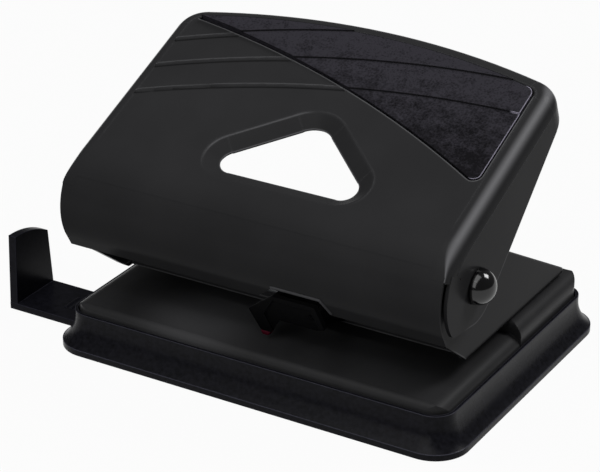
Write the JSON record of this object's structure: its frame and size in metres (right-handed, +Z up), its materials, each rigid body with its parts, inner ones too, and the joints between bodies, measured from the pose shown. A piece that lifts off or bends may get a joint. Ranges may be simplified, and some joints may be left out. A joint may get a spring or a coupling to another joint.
{
  "type": "two-hole punch",
  "caption": "Desk punch with a sloped pressed-steel handle, finger hole and rubber pad over a saddle frame, on a base plate with a chip tray and a sliding paper guide.",
  "frame": {"origin": "centre of the chip tray's underside, where the punch rests on the desk", "axes": "+X to the right along the two punch pins, -Y to the front where the paper goes in, +Z up"},
  "size_m": [0.1522, 0.0958, 0.0856],
  "materials": {
    "handle_paint": "matte",
    "frame_paint": "matte",
    "plate_paint": "satin",
    "tray_plastic": "gloss",
    "guide_plastic": "satin",
    "cap_plastic": "gloss",
    "spacer_plastic": "matte",
    "pad_rubber": "matte",
    "zinc_steel": "satin",
    "tool_steel": "ground"
  },
  "bodies": {
    "tray": {"chip_tray": "tray_plastic"},
    "guide": {"paper_guide": "guide_plastic"},
    "base": {"base_plate": "plate_paint", "frame": "frame_paint", "punch_bridge": "zinc_steel", "frame_rivets": "zinc_steel", "bridge_rivets": "zinc_steel", "pivot_pin": "zinc_steel", "left_pivot_cap": "cap_plastic", "right_pivot_cap": "cap_plastic", "left_pivot_washer": "spacer_plastic", "right_pivot_washer": "spacer_plastic", "centre_guide": "guide_plastic", "left_spring": "zinc_steel", "right_spring": "zinc_steel"},
    "lever": {"handle": "handle_paint", "grip_pad": "pad_rubber", "left_presser": "zinc_steel", "right_presser": "zinc_steel"},
    "left_pin": {"left_punch": "tool_steel", "left_clip": "zinc_steel"},
    "right_pin": {"right_punch": "tool_steel", "right_clip": "zinc_steel"}
  },
  "joints": [
    {"name": "guide_slide", "type": "slide", "parent": "tray", "child": "guide", "axis": [1, 0, 0], "range_m": [-0.062, 0.018]},
    {"name": "tray_hinge", "type": "hinge", "parent": "tray", "child": "base", "pos_m": [0, 0.044, 0.0114], "axis": [-1, 0, 0], "range_deg": [0, 60]},
    {"name": "lever", "type": "hinge", "parent": "base", "child": "lever", "pos_m": [0, -0.0274, 0.0436], "axis": [1, 0, 0], "range_deg": [-20, 0], "stiffness_Nm_per_rad": 0.5, "springref_deg": 34.38},
    {"name": "left_stroke", "type": "slide", "parent": "base", "child": "left_pin", "axis": [0, 0, 1], "range_m": [-0.0067, 0.0001], "deforming": ["left_spring"]},
    {"name": "right_stroke", "type": "slide", "parent": "base", "child": "right_pin", "axis": [0, 0, 1], "range_m": [-0.0067, 0.0001], "deforming": ["right_spring"]}
  ],
  "couplings": [
    {"joint": "left_stroke", "follows": "lever", "m_per_rad": 0.0189},
    {"joint": "right_stroke", "follows": "lever", "m_per_rad": 0.0189}
  ]
}
